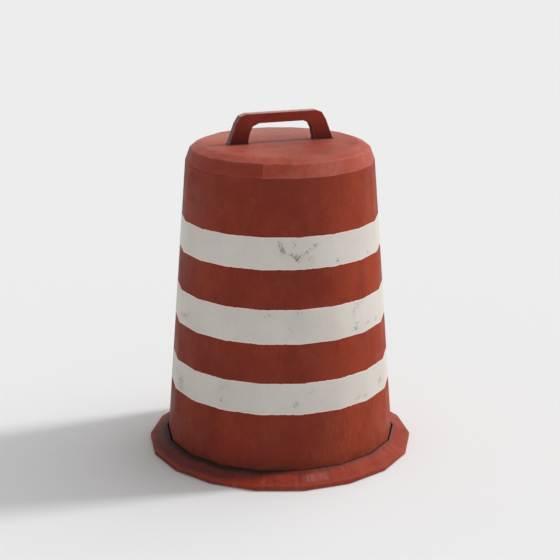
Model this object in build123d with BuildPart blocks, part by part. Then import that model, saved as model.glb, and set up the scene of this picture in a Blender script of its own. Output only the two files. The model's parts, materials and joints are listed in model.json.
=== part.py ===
"""Traffic barrel drum: an eighteen-sided tapered plastic drum that lifts off a ballasted foot ring.

Millimetres, +Z up. The origin is the centre of the footprint on the ground. The carrying handle runs
along X, a corner of every outline points along +X and a flat faces -Y, the front.
"""

import os
from math import cos, pi

from build123d import *

# Outline: every ring of the drum and of its foot is the same rounded regular polygon.
SIDES = 18
FLAT_SHARE = cos(pi / SIDES)  # distance to a flat over distance to a corner
DRUM_CORNER = 25  # rounding of the drum's upright corners
FOOT_CORNER = 12  # rounding of the foot ring's corners
FLAT_ANGLE = 180 / SIDES  # direction of the first flat's centre
OVERRUN = 1  # how far a cutting tool runs past the face it opens

# Drum body: the distances to a corner, and the heights they are at.
CREASE_HEIGHT, CREASE_RADIUS = 41, 355  # where the wall enters the foot ring
SHOULDER_HEIGHT, SHOULDER_RADIUS = 905, 287  # where shell and cap meet
BEVEL_HEIGHT, BEVEL_RADIUS = 945, 272  # change of slope in the shoulder
DECK_HEIGHT, DECK_RADIUS = 959.5, 240.5  # flat top
SHELL_WALL = 3
CAP_WALL = 3.5

# Cap: a skirt inside the shell, held by lugs that snap into blind pockets.
SKIRT_DEPTH = 35
SKIRT_GAP = 0.25
SKIRT_WALL = 3
SKIRT_TOP = SHOULDER_HEIGHT + 5
LUG_COUNT = SIDES // 2
LUG_HEIGHT, LUG_WIDTH, LUG_STAND = 6, 30, 1.25
LUG_LEVEL = SHOULDER_HEIGHT - 22
LUG_ROOM = 0.4  # pocket beyond the lug on every side
RIB_COUNT = 6
RIB_START = 30  # degrees, the centre of a flat
RIB_WALL = 4
HUB_RADIUS = 60  # ring that the deck ribs run out from
RIB_DEPTH = 15
STACK_RADIUS = 205  # inner end of the fins that a stacked drum stands on
STACK_LEVEL = 850

# Reflective bands: height of the middle, and width.
BANDS = {"band_lower": (258, 95), "band_middle": (474.5, 103), "band_upper": (690.5, 95)}
BAND_THICKNESS = 0.5
BAND_GAP = 0.02  # adhesive line
LAP_LENGTH = 40  # overlap of the band's two ends, on the back flat

# Handle: half of its outline, from the foot up, as (distance from the middle, height above the foot).
HANDLE_THICKNESS = 28
HANDLE_OUTER = [(166, 0), (143.5, 59.5), (130, 81.5), (110, 88.5)]
HANDLE_INNER = [(70, 58.5), (90, 50), (99, 31.5), (105.5, 0)]
HANDLE_BEND = 5  # rounding of the outline's bends
HANDLE_EDGE = 2.5  # rounding of its long edges

# Handle fixing: two M8 bolts a foot, driven up from inside the drum.
GASKET_THICKNESS = 2
GASKET_OVERHANG = 1.5
BOLT_PLACES = [-144, -118, 118, 144]
BOLT_RADIUS = 3.95
BOLT_LENGTH = 25
BOLT_HEAD_FLATS, BOLT_HEAD_HEIGHT = 13, 5.3
BOLT_HOLE_RADIUS = 4.5
INSERT_RADIUS, INSERT_BORE, INSERT_LENGTH = 6, 4, 16
INSERT_GAP = 0.05
LOCK_WASHER_OUTER, LOCK_WASHER_INNER, LOCK_WASHER_THICKNESS = 7.4, 4.2, 2
LOCK_WASHER_SLIT = 2
PLATE_LENGTH, PLATE_WIDTH, PLATE_THICKNESS = 70, 40, 3
PLATE_CORNER = 6

# Foot ring: a hollow moulding with a groove that the drum stands in.
FOOT_RADIUS = 414
SKIRT_EDGE = 2  # the moulding stays clear of the ground, on the rubber
FOOT_EDGE_HEIGHT = 15
FOOT_WALL = 5
GROOVE_FLOOR = 14
GROOVE_RADIUS = 359.5
FOOT_LIP_RADIUS = GROOVE_RADIUS + 2  # inner end of the sloping top
SPIGOT_HEIGHT = 95
SPIGOT_GAP = 1.5
SPIGOT_WALL = 5
PAN_HEIGHT = 40
OPENING_RADIUS = 247  # middle of the foot ring
INNER_CAVITY_RADIUS = 344

# Ballast ring: solid rubber that fills the foot ring from below and stands on the ground.
BALLAST_GAP = 1
TREAD_COUNT = SIDES
TREAD_WIDTH, TREAD_DEPTH = 8, 3
TREAD_RIM = 8  # unbroken rubber outside the tread grooves

# Ballast screws.
SCREW_COUNT = 6
SCREW_CIRCLE = 297
SCREW_RADIUS = 2.95
SCREW_GAP = 0.05
SCREW_LENGTH = 27.5
SCREW_HEAD_FLATS, SCREW_HEAD_HEIGHT = 10, 5
BOSS_RADIUS, BOSS_LEVEL = 8, 20
BOSS_ROOM = 0.75
WASHER_OUTER, WASHER_INNER, WASHER_THICKNESS = 12, 3.3, 1.5
COUNTERBORE_RADIUS, COUNTERBORE_DEPTH = 15, 8
CLEARANCE_HOLE_RADIUS = 3.5

HANDLE_FOOT = DECK_HEIGHT + GASKET_THICKNESS
DECK_UNDERSIDE = DECK_HEIGHT - CAP_WALL
PLATE_UNDERSIDE = DECK_UNDERSIDE - PLATE_THICKNESS
BOLT_SEAT = PLATE_UNDERSIDE - LOCK_WASHER_THICKNESS
PAN_UNDERSIDE = PAN_HEIGHT - FOOT_WALL


def inset(radius, distance):
    """Distance to a corner of the outline that lies a distance inside another one."""
    return radius - distance / FLAT_SHARE


def outline(height, radius, corner=DRUM_CORNER):
    """Rounded polygon at a height, radius being the distance to its unrounded corners."""
    with BuildSketch(Plane.XY.offset(height)) as section:
        RegularPolygon(radius, SIDES)
        fillet(section.vertices(), corner)
    return section.sketch


def body_radius(height):
    """Distance to a corner of the drum's outer wall, which tapers evenly."""
    share = (height - CREASE_HEIGHT) / (SHOULDER_HEIGHT - CREASE_HEIGHT)
    return CREASE_RADIUS + (SHOULDER_RADIUS - CREASE_RADIUS) * share


def body_flat(height, distance):
    """Distance to a flat, a distance inside the drum's outer wall."""
    return body_radius(height) * FLAT_SHARE - distance


def body_outlines(low, high, distance):
    """Two outlines that follow the drum's taper, a distance inside its outer wall."""
    return [outline(height, inset(body_radius(height), distance)) for height in (low, high)]


def straight_outlines(low, high, radius, corner=FOOT_CORNER):
    """Two equal outlines, for an upright wall."""
    return [outline(height, radius, corner) for height in (low, high)]


def inner_profile(levels, wall):
    """Moves a profile of (height, radius) points inwards by a wall, measured square to each slope."""
    points = [Vector(radius * FLAT_SHARE, height) for height, radius in levels]
    moved = []
    for before, after in zip(points, points[1:]):
        along = (after - before).normalized()
        inwards = Vector(-along.Y, along.X) * wall
        moved.append((before + inwards, along))
    corners = [moved[0][0]]
    for (start, along), (next_start, next_along) in zip(moved, moved[1:]):
        between = next_start - start
        reach = (between.X * next_along.Y - between.Y * next_along.X) / (
            along.X * next_along.Y - along.Y * next_along.X
        )
        corners.append(start + along * reach)
    return [(corner.Y, corner.X / FLAT_SHARE) for corner in corners]


def write(part, name):
    """Labels a finished piece and writes it to its own file."""
    part.label = name
    export_step(part, f"parts/{name}.step")


os.makedirs("parts", exist_ok=True)

# ---------------------------------------------------------------- drum shell
with BuildPart() as drum_shell:
    loft(body_outlines(GROOVE_FLOOR, SHOULDER_HEIGHT, 0), ruled=True)
    loft(
        body_outlines(GROOVE_FLOOR - OVERRUN, SHOULDER_HEIGHT + OVERRUN, SHELL_WALL),
        ruled=True,
        mode=Mode.SUBTRACT,
    )
    pocket_mouth = body_flat(LUG_LEVEL, SHELL_WALL + OVERRUN)
    with Locations((0, 0, LUG_LEVEL)):
        with PolarLocations(pocket_mouth, LUG_COUNT, start_angle=FLAT_ANGLE):
            Box(
                OVERRUN + LUG_STAND + LUG_ROOM,
                LUG_WIDTH + 2 * LUG_ROOM,
                LUG_HEIGHT + 2 * LUG_ROOM,
                align=(Align.MIN, Align.CENTER, Align.CENTER),
                mode=Mode.SUBTRACT,
            )
write(drum_shell.part, "drum_shell")

# ---------------------------------------------------------------- top cap
cap_levels = [
    (SHOULDER_HEIGHT, SHOULDER_RADIUS),
    (BEVEL_HEIGHT, BEVEL_RADIUS),
    (DECK_HEIGHT, DECK_RADIUS),
]
cap_inner_levels = inner_profile([*cap_levels, (DECK_HEIGHT, 0)], CAP_WALL)
bevel_level, bevel_corner = cap_inner_levels[1]
deck_corner = cap_inner_levels[2][1]
skirt_middle = SHELL_WALL + SKIRT_GAP + SKIRT_WALL / 2

with BuildPart() as top_cap:
    loft([outline(*level) for level in cap_levels], ruled=True)
    loft([outline(*level) for level in cap_inner_levels], ruled=True, mode=Mode.SUBTRACT)
    loft(
        body_outlines(SHOULDER_HEIGHT - SKIRT_DEPTH, SKIRT_TOP, SHELL_WALL + SKIRT_GAP),
        ruled=True,
    )
    loft(
        body_outlines(
            SHOULDER_HEIGHT - SKIRT_DEPTH - OVERRUN,
            SKIRT_TOP,
            SHELL_WALL + SKIRT_GAP + SKIRT_WALL,
        ),
        ruled=True,
        mode=Mode.SUBTRACT,
    )
    # Snap lugs, and the ribs and stacking fins under the deck.
    lug_root = body_flat(LUG_LEVEL, SHELL_WALL + SKIRT_GAP + OVERRUN)
    with Locations((0, 0, LUG_LEVEL)):
        with PolarLocations(lug_root, LUG_COUNT, start_angle=FLAT_ANGLE):
            Box(
                OVERRUN + LUG_STAND,
                LUG_WIDTH,
                LUG_HEIGHT,
                align=(Align.MIN, Align.CENTER, Align.CENTER),
            )
    for turn in range(RIB_COUNT):
        with BuildSketch(Plane.XZ.rotated((0, 0, RIB_START + turn * 360 / RIB_COUNT))):
            with BuildLine():
                Polyline(
                    (HUB_RADIUS - RIB_WALL / 2, DECK_UNDERSIDE + OVERRUN),
                    (HUB_RADIUS - RIB_WALL / 2, DECK_UNDERSIDE - RIB_DEPTH),
                    (STACK_RADIUS, DECK_UNDERSIDE - RIB_DEPTH),
                    (STACK_RADIUS, STACK_LEVEL),
                    (body_flat(STACK_LEVEL, skirt_middle), STACK_LEVEL),
                    (body_flat(SHOULDER_HEIGHT, skirt_middle), SHOULDER_HEIGHT),
                    (body_flat(SHOULDER_HEIGHT, SHELL_WALL + SKIRT_GAP), SHOULDER_HEIGHT),
                    (bevel_corner * FLAT_SHARE + OVERRUN, bevel_level),
                    (deck_corner * FLAT_SHARE + OVERRUN, DECK_UNDERSIDE + OVERRUN),
                    close=True,
                )
            make_face()
        extrude(amount=RIB_WALL / 2, both=True)
    with BuildSketch(Plane.XY.offset(DECK_UNDERSIDE - RIB_DEPTH)):
        Circle(HUB_RADIUS)
        Circle(HUB_RADIUS - RIB_WALL, mode=Mode.SUBTRACT)
    extrude(amount=RIB_DEPTH + OVERRUN)
    with Locations(*[(place, 0, DECK_HEIGHT) for place in BOLT_PLACES]):
        Hole(BOLT_HOLE_RADIUS, depth=CAP_WALL + OVERRUN)
write(top_cap.part, "top_cap")

# ---------------------------------------------------------------- reflective bands
for name, (middle, width) in BANDS.items():
    low, high = middle - width / 2, middle + width / 2
    outer_face = -(BAND_GAP + BAND_THICKNESS)
    with BuildPart() as lap:
        loft(body_outlines(low, high, outer_face - BAND_THICKNESS), ruled=True)
        with Locations((0, CREASE_RADIUS, middle)):
            Box(LAP_LENGTH, CREASE_RADIUS, width * 2, mode=Mode.INTERSECT)
    with BuildPart() as band:
        loft(body_outlines(low, high, outer_face), ruled=True)
        add(lap.part)
        loft(body_outlines(low - OVERRUN, high + OVERRUN, -BAND_GAP), ruled=True, mode=Mode.SUBTRACT)
    write(band.part, name)

# ---------------------------------------------------------------- handle
with BuildPart() as handle:
    with BuildSketch(Plane.XZ.offset(-HANDLE_THICKNESS / 2)) as profile:
        with BuildLine():
            right = [(across, HANDLE_FOOT + up) for across, up in HANDLE_OUTER]
            inside = [(across, HANDLE_FOOT + up) for across, up in reversed(HANDLE_INNER)]
            Polyline(
                *right,
                *[(-across, height) for across, height in reversed(right)],
                *[(-across, height) for across, height in inside],
                *[(across, height) for across, height in reversed(inside)],
                close=True,
            )
        make_face()
        bends = profile.vertices().filter_by(lambda corner: corner.Z > HANDLE_FOOT + OVERRUN)
        fillet(bends, HANDLE_BEND)
    extrude(amount=HANDLE_THICKNESS)
    long_edges = handle.faces().filter_by(Axis.Y).edges()
    fillet([edge for edge in long_edges if edge.center().Z > HANDLE_FOOT + OVERRUN], HANDLE_EDGE)
    with Locations(*[(place, 0, HANDLE_FOOT) for place in BOLT_PLACES]):
        Cylinder(
            INSERT_RADIUS + INSERT_GAP,
            INSERT_LENGTH + INSERT_GAP,
            align=(Align.CENTER, Align.CENTER, Align.MIN),
            mode=Mode.SUBTRACT,
        )
write(handle.part, "handle")

foot_inner, foot_outer = HANDLE_INNER[-1][0], HANDLE_OUTER[0][0]
foot_middle = (foot_inner + foot_outer) / 2
plate_middle = (BOLT_PLACES[2] + BOLT_PLACES[3]) / 2

for hand, side in (("left", -1), ("right", 1)):
    with BuildPart() as gasket:
        with BuildSketch(Plane.XY.offset(DECK_HEIGHT)):
            with Locations((side * foot_middle, 0)):
                Rectangle(
                    foot_outer - foot_inner + 2 * GASKET_OVERHANG,
                    HANDLE_THICKNESS + 2 * GASKET_OVERHANG,
                )
            with Locations(*[(place, 0) for place in BOLT_PLACES]):
                Circle(BOLT_HOLE_RADIUS, mode=Mode.SUBTRACT)
        extrude(amount=GASKET_THICKNESS)
    write(gasket.part, f"handle_gasket_{hand}")

    with BuildPart() as plate:
        with BuildSketch(Plane.XY.offset(PLATE_UNDERSIDE)):
            with Locations((side * plate_middle, 0)):
                RectangleRounded(PLATE_LENGTH, PLATE_WIDTH, PLATE_CORNER)
            with Locations(*[(place, 0) for place in BOLT_PLACES]):
                Circle(BOLT_HOLE_RADIUS, mode=Mode.SUBTRACT)
        extrude(amount=PLATE_THICKNESS)
    write(plate.part, f"handle_plate_{hand}")

with BuildPart() as handle_inserts:
    with BuildSketch(Plane.XY.offset(HANDLE_FOOT)):
        with Locations(*[(place, 0) for place in BOLT_PLACES]):
            Circle(INSERT_RADIUS)
            Circle(INSERT_BORE, mode=Mode.SUBTRACT)
    extrude(amount=INSERT_LENGTH)
write(handle_inserts.part, "handle_inserts")

with BuildPart() as handle_bolts:
    with BuildSketch(Plane.XY.offset(BOLT_SEAT)):
        with Locations(*[(place, 0) for place in BOLT_PLACES]):
            RegularPolygon(BOLT_HEAD_FLATS / 2, 6, major_radius=False)
    extrude(amount=-BOLT_HEAD_HEIGHT)
    with BuildSketch(Plane.XY.offset(BOLT_SEAT)):
        with Locations(*[(place, 0) for place in BOLT_PLACES]):
            Circle(BOLT_RADIUS)
    extrude(amount=BOLT_LENGTH)
write(handle_bolts.part, "handle_bolts")

with BuildPart() as handle_lock_washers:
    with BuildSketch(Plane.XY.offset(BOLT_SEAT)):
        with Locations(*[(place, 0) for place in BOLT_PLACES]):
            Circle(LOCK_WASHER_OUTER)
            Circle(LOCK_WASHER_INNER, mode=Mode.SUBTRACT)
            with Locations((LOCK_WASHER_OUTER, 0)):
                Rectangle(LOCK_WASHER_OUTER * 2, LOCK_WASHER_SLIT, mode=Mode.SUBTRACT)
    extrude(amount=LOCK_WASHER_THICKNESS)
write(handle_lock_washers.part, "handle_lock_washers")

# ---------------------------------------------------------------- foot ring
foot_levels = [
    (SKIRT_EDGE, FOOT_RADIUS),
    (FOOT_EDGE_HEIGHT, FOOT_RADIUS),
    (CREASE_HEIGHT, FOOT_LIP_RADIUS),
]
foot_inner_levels = inner_profile([*foot_levels, (CREASE_HEIGHT, 0)], FOOT_WALL)
groove_wall = GROOVE_RADIUS + FOOT_WALL / FLAT_SHARE  # outer side of the wall round the groove
spigot_face = SHELL_WALL + SPIGOT_GAP

with BuildPart() as base_flange:
    loft([outline(*level, FOOT_CORNER) for level in foot_levels], ruled=True)
    loft(straight_outlines(GROOVE_FLOOR, CREASE_HEIGHT + OVERRUN, GROOVE_RADIUS), mode=Mode.SUBTRACT)
    loft(body_outlines(GROOVE_FLOOR, SPIGOT_HEIGHT, spigot_face), ruled=True)
    loft(
        body_outlines(PAN_HEIGHT, SPIGOT_HEIGHT + OVERRUN, spigot_face + SPIGOT_WALL),
        ruled=True,
        mode=Mode.SUBTRACT,
    )
    # Hollow underside: outside the groove, under the groove, and under the pan.
    with BuildPart(mode=Mode.PRIVATE) as hollow:
        loft(
            [
                outline(SKIRT_EDGE - OVERRUN, foot_inner_levels[0][1], FOOT_CORNER),
                *[outline(*level, FOOT_CORNER) for level in foot_inner_levels[1:]],
            ],
            ruled=True,
        )
        loft(
            straight_outlines(GROOVE_FLOOR - FOOT_WALL, CREASE_HEIGHT, groove_wall),
            mode=Mode.SUBTRACT,
        )
        loft(straight_outlines(SKIRT_EDGE, PAN_UNDERSIDE, INNER_CAVITY_RADIUS))
        loft(
            straight_outlines(
                SKIRT_EDGE - OVERRUN, PAN_UNDERSIDE, OPENING_RADIUS + FOOT_WALL / FLAT_SHARE
            ),
            mode=Mode.SUBTRACT,
        )
    add(hollow.part, mode=Mode.SUBTRACT)
    loft(straight_outlines(-OVERRUN, SPIGOT_HEIGHT, OPENING_RADIUS), mode=Mode.SUBTRACT)
    with BuildSketch(Plane.XY.offset(BOSS_LEVEL)):
        with PolarLocations(SCREW_CIRCLE, SCREW_COUNT, start_angle=RIB_START):
            Circle(BOSS_RADIUS)
    extrude(amount=PAN_UNDERSIDE - BOSS_LEVEL)
    with BuildSketch(Plane.XY.offset(BOSS_LEVEL)):
        with PolarLocations(SCREW_CIRCLE, SCREW_COUNT, start_angle=RIB_START):
            Circle(SCREW_RADIUS + SCREW_GAP)
    extrude(amount=PAN_UNDERSIDE - BOSS_LEVEL, mode=Mode.SUBTRACT)
write(base_flange.part, "base_flange")

# ---------------------------------------------------------------- ballast ring
ballast_levels = inner_profile([*foot_levels, (CREASE_HEIGHT, 0)], FOOT_WALL + BALLAST_GAP)
ballast_inner = OPENING_RADIUS + (FOOT_WALL + BALLAST_GAP) / FLAT_SHARE

with BuildPart() as ballast_ring:
    loft(
        [
            outline(0, ballast_levels[0][1], FOOT_CORNER),
            *[outline(*level, FOOT_CORNER) for level in ballast_levels[1:]],
        ],
        ruled=True,
    )
    loft(
        straight_outlines(
            GROOVE_FLOOR - FOOT_WALL - BALLAST_GAP,
            CREASE_HEIGHT,
            groove_wall + BALLAST_GAP / FLAT_SHARE,
        ),
        mode=Mode.SUBTRACT,
    )
    loft(straight_outlines(0, PAN_UNDERSIDE - BALLAST_GAP, inset(INNER_CAVITY_RADIUS, BALLAST_GAP)))
    loft(straight_outlines(-OVERRUN, CREASE_HEIGHT, ballast_inner), mode=Mode.SUBTRACT)
    # Tread grooves underneath, running in from an unbroken outer rim.
    tread_end = ballast_levels[0][1] * FLAT_SHARE - TREAD_RIM
    with BuildSketch():
        with PolarLocations(0, TREAD_COUNT):
            with Locations((tread_end / 2, 0)):
                Rectangle(tread_end, TREAD_WIDTH)
    extrude(amount=TREAD_DEPTH, mode=Mode.SUBTRACT)
    # Screw places: a counterbore below, a clearance hole, and room for the boss above.
    for radius, low, high in (
        (COUNTERBORE_RADIUS, 0, COUNTERBORE_DEPTH),
        (CLEARANCE_HOLE_RADIUS, COUNTERBORE_DEPTH, BOSS_LEVEL),
        (BOSS_RADIUS + BOSS_ROOM, BOSS_LEVEL - BOSS_ROOM, PAN_UNDERSIDE),
    ):
        with BuildSketch(Plane.XY.offset(low)):
            with PolarLocations(SCREW_CIRCLE, SCREW_COUNT, start_angle=RIB_START):
                Circle(radius)
        extrude(amount=high - low, mode=Mode.SUBTRACT)
write(ballast_ring.part, "ballast_ring")

with BuildPart() as ballast_washers:
    with BuildSketch(Plane.XY.offset(COUNTERBORE_DEPTH)):
        with PolarLocations(SCREW_CIRCLE, SCREW_COUNT, start_angle=RIB_START):
            Circle(WASHER_OUTER)
            Circle(WASHER_INNER, mode=Mode.SUBTRACT)
    extrude(amount=-WASHER_THICKNESS)
write(ballast_washers.part, "ballast_washers")

screw_seat = COUNTERBORE_DEPTH - WASHER_THICKNESS
with BuildPart() as ballast_screws:
    with BuildSketch(Plane.XY.offset(screw_seat)):
        with PolarLocations(SCREW_CIRCLE, SCREW_COUNT, start_angle=RIB_START):
            RegularPolygon(SCREW_HEAD_FLATS / 2, 6, major_radius=False)
    extrude(amount=-SCREW_HEAD_HEIGHT)
    with BuildSketch(Plane.XY.offset(screw_seat)):
        with PolarLocations(SCREW_CIRCLE, SCREW_COUNT, start_angle=RIB_START):
            Circle(SCREW_RADIUS)
    extrude(amount=SCREW_LENGTH)
write(ballast_screws.part, "ballast_screws")
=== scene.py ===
"""The looks of a traffic barrel drum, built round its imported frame.

Metres, in the model's own frame: +Z up, the handle along X, the front facing -Y.
"""

import json
from functools import partial, reduce
from math import atan2, ceil, cos, exp, hypot, pi, radians, sin, tan

import bpy
from mathutils import Euler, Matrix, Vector, noise


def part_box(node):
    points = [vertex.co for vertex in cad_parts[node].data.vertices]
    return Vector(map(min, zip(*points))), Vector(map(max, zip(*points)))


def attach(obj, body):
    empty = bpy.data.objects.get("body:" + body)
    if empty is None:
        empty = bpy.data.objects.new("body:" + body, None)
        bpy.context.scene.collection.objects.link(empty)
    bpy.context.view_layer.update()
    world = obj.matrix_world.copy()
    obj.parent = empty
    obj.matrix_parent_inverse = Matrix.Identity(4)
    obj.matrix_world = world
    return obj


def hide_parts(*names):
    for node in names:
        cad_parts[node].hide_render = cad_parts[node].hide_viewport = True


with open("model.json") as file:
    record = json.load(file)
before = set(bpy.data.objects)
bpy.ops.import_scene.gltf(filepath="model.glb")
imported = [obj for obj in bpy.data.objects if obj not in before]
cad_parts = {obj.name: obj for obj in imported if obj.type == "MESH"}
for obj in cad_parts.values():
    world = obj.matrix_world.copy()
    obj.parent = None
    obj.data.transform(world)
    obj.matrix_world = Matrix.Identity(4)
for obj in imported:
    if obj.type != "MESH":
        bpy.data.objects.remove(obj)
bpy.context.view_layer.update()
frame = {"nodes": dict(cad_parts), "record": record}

# ------------------------------ sizes
SIDES = 18
SIDE_TURN = 2 * pi / SIDES
FLAT_SHARE = cos(pi / SIDES)  # distance to a flat over distance to a corner
DRUM_CORNER = 0.025  # rounding of the drum's upright corners
FOOT_CORNER = 0.012
ROUND_SHADING = 0.92  # how far the flats are shaded as one round wall

shell_low, shell_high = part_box("drum_shell")
cap_low, cap_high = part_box("top_cap")
foot_low, foot_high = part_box("base_flange")
handle_low, handle_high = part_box("handle")

WALL = 0.003
WALL_FOOT = (shell_high.y, shell_low.z)  # distance to a flat, and height
WALL_TOP = (cap_high.y, shell_high.z)
DECK = cap_high.z
BEVEL_DROP, BEVEL_INSET, DECK_INSET = 0.0145, 0.01477, 0.0458
CAP_WALL = 0.0035
SKIRT_FOOT, SKIRT_GAP, SKIRT_WALL = 0.870, 0.00025, 0.003
SKIRT_LEDGE = 0.005  # how far up past the shell the skirt's inner face runs
RIB_COUNT, RIB_START, RIB_WALL, RIB_DEPTH = 6, radians(30), 0.004, 0.015
HUB_RADIUS, STACK_RADIUS = 0.060, 0.205
RIB_ROUNDING, RIB_EDGE = 0.0008, 0.0007
LUG_COUNT, LUG_LEVEL = 9, 0.883
LUG_HEIGHT, LUG_WIDTH, LUG_STAND = 0.006, 0.030, 0.00125
SUNK = 0.001  # how far ribs and lugs run into what they stand on
SHADED_FROM, SHADED_TURN = radians(125), radians(115)  # the stretch of the shoulder painted darker as shade

CREASE = 0.041  # height where the wall enters the foot ring
FOOT_EDGE = 0.015  # height of the foot ring's upright edge
FOOT_WALL = 0.005
GROOVE_FLOOR, GROOVE_ROOM = 0.014, 0.00434
LIP = 0.002
SPIGOT_GAP = 0.0015
PAN = 0.040
OPENING = 0.247 * FLAT_SHARE
CAVITY = 0.344 * FLAT_SHARE

BAND_LAP = 0.4  # half of the lap, as a share of the half width of the back flat
BACK_SIDE = 4  # the side that faces +Y
SHEET, SHEET_GAP, SHEET_BEVEL = 0.0005, 0.00002, 0.00012
RIM_WEAR = (0.385, 0.405)  # distances from the axis between which the foot ring's wear sets in
NICK = 0.0011  # depth of the wear along the bands' edges
NICKS_A_METRE = 105
EDGE_HIGHLIGHT = 0.0045  # width of the stretch along the bands' edges that gets a painted pale highlight

HANDLE_OUTER = [(0.166, 0), (0.1435, 0.0595), (0.130, 0.0815), (0.110, 0.0885)]
HANDLE_INNER = [(0.1055, 0), (0.099, 0.0315), (0.090, 0.050), (0.070, 0.0585)]
HANDLE_BEND, HANDLE_EDGE = 0.005, 0.0025

POLE = 1e-6  # a ring of a lathed solid closer to the axis than this is one vertex
STREAKS_AT = 0.4  # distance from the axis at which radial streaks are counted


def wall_flat(height):
    """Distance from the axis to the flats of the tapered wall."""
    share = (height - WALL_FOOT[1]) / (WALL_TOP[1] - WALL_FOOT[1])
    return WALL_FOOT[0] + (WALL_TOP[0] - WALL_FOOT[0]) * share


def smooth(value, low, high):
    """0 below low, 1 above high, and a smooth rise between."""
    share = min(max((value - low) / (high - low), 0.0), 1.0)
    return share * share * (3 - 2 * share)


# ------------------------------ mesh tools
def corner_arc(before, here, after, rounding, bends):
    """Points round a rounded corner of a profile: (place, outward normal, worn)."""
    coming, going = (here - before).normalized(), (after - here).normalized()
    turn = atan2(coming.cross(going), coming.dot(going))
    side = 1 if turn > 0 else -1
    first_normal = Vector((coming.y, -coming.x))
    trim = rounding * tan(abs(turn) / 2)
    middle = here - coming * trim - first_normal * rounding * side
    arc = []
    for number in range(bends + 1):
        heading = atan2(coming.y, coming.x) + turn * number / bends
        normal = Vector((sin(heading), -cos(heading)))
        arc.append((middle + normal * rounding * side, normal, 1.0 if turn > 0 else 0.0))
    return arc


def stops_along(length, step, fade):
    """Shares of a straight stretch that get a point: even steps, and one close to each end."""
    count = ceil(length / step)
    stops = [number / count for number in range(1, count)]
    if length > 3 * fade:
        stops = sorted([fade / length, 1 - fade / length] + stops)
    return stops


def rounded_profile(corners, closed=True, step=0.03, bends=4, fade=0.004):
    """Points along a profile of (across, up, rounding) corners, walked with the solid on the left.

    Each point is (place, outward normal, worn), worn being 1 on outer corners and 0 from fade away.
    """
    spots = [Vector(corner[:2]) for corner in corners]
    arcs = []
    for index, here in enumerate(spots):
        if not closed and index in (0, len(spots) - 1):
            arcs.append([(here, None, 0.0)])
            continue
        after = spots[(index + 1) % len(spots)]
        arcs.append(corner_arc(spots[index - 1], here, after, corners[index][2], bends))
    points = []
    for index, arc in enumerate(arcs):
        if arc[0][1] is not None:
            points += arc
        if not closed and index == len(arcs) - 1:
            break
        start, finish = arc[-1][0], arcs[(index + 1) % len(arcs)][0][0]
        along = finish - start
        normal = Vector((along.y, -along.x)).normalized()
        if arc[0][1] is None:
            points.append((start, normal, 0.0))
        stops = stops_along(along.length, step, fade)
        points += [(start + along * stop, normal, 0.0) for stop in stops]
    if not closed:
        points.append((arcs[-1][0][0], points[-1][1], 0.0))
    return points


def eased(spots, rounding):
    """Corners for a profile, all with one rounding."""
    return [(*spot, rounding) for spot in spots]


def polygon(flat, corner, along, bends):
    """Points round the rounded polygon whose flats are at a distance: (place, direction faced)."""
    corner = min(corner, flat / 2)
    reach = (flat - corner) * tan(SIDE_TURN / 2)
    points = []
    for side in range(SIDES):
        facing = (side + 0.5) * SIDE_TURN
        out, across = Vector((cos(facing), sin(facing))), Vector((-sin(facing), cos(facing)))
        for number in range(along):
            points.append((out * flat + across * reach * (2 * number / along - 1), facing))
        centre = out * (flat - corner) + across * reach
        for number in range(bends):
            turned = facing + SIDE_TURN * number / bends
            points.append((centre + corner * Vector((cos(turned), sin(turned))), turned))
    return points


def shade_direction(place, facing):
    """Direction a point of the outline is shaded from: nearly that of a round wall."""
    away = (atan2(place.y, place.x) - facing + pi) % (2 * pi) - pi
    turned = facing + ROUND_SHADING * away
    return Vector((cos(turned), sin(turned)))


def make_mesh(name, vertices, faces, normals, **attributes):
    """A smooth object from its vertices, faces, vertex normals and one number a vertex an attribute."""
    mesh = bpy.data.meshes.new(name)
    mesh.from_pydata(vertices, [], faces)
    mesh.update()
    mesh.polygons.foreach_set("use_smooth", [True] * len(mesh.polygons))
    for attribute, values in attributes.items():
        layer = mesh.attributes.new(attribute, "FLOAT", "POINT")
        layer.data.foreach_set("value", values)
    mesh.normals_split_custom_set_from_vertices(normals)
    piece = bpy.data.objects.new(name, mesh)
    bpy.context.scene.collection.objects.link(piece)
    return piece


def ring_faces(starts, around, closed):
    """The faces between rings of vertices, each given as (first vertex, whether it is a pole)."""
    faces = []
    pairs = list(zip(starts, starts[1:])) + ([(starts[-1], starts[0])] if closed else [])
    for (low, low_pole), (high, high_pole) in pairs:
        for number in range(around):
            after = (number + 1) % around
            if low_pole:
                faces.append((low, high + after, high + number))
            elif high_pole:
                faces.append((low + number, low + after, high))
            else:
                faces.append((low + number, low + after, high + after, high + number))
    return faces


def lathe(name, profile, corner, along=6, bends=4, closed=True, shift=None):
    """A solid whose every level is the rounded polygon, from its profile of distance and height."""
    vertices, normals, worn, ring, starts = [], [], [], [], []
    for place, normal, wear in profile:
        pole = place.x < POLE
        starts.append((len(vertices), pole))
        if pole:
            vertices.append((0, 0, place.y))
            normals.append((0, 0, normal.y))
            worn.append(0.0)
            ring.append(0.0)
            continue
        for spot, facing in polygon(place.x, corner, along, bends):
            out = shade_direction(spot, facing)
            moved = shift(spot, place) if shift else spot
            vertices.append((moved.x, moved.y, place.y))
            normals.append((out.x * normal.x, out.y * normal.x, normal.y))
            worn.append(wear)
            ring.append(place.x / FLAT_SHARE)
    faces = ring_faces(starts, SIDES * (along + bends), closed)
    return make_mesh(name, vertices, faces, normals, worn=worn, ring=ring)


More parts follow.
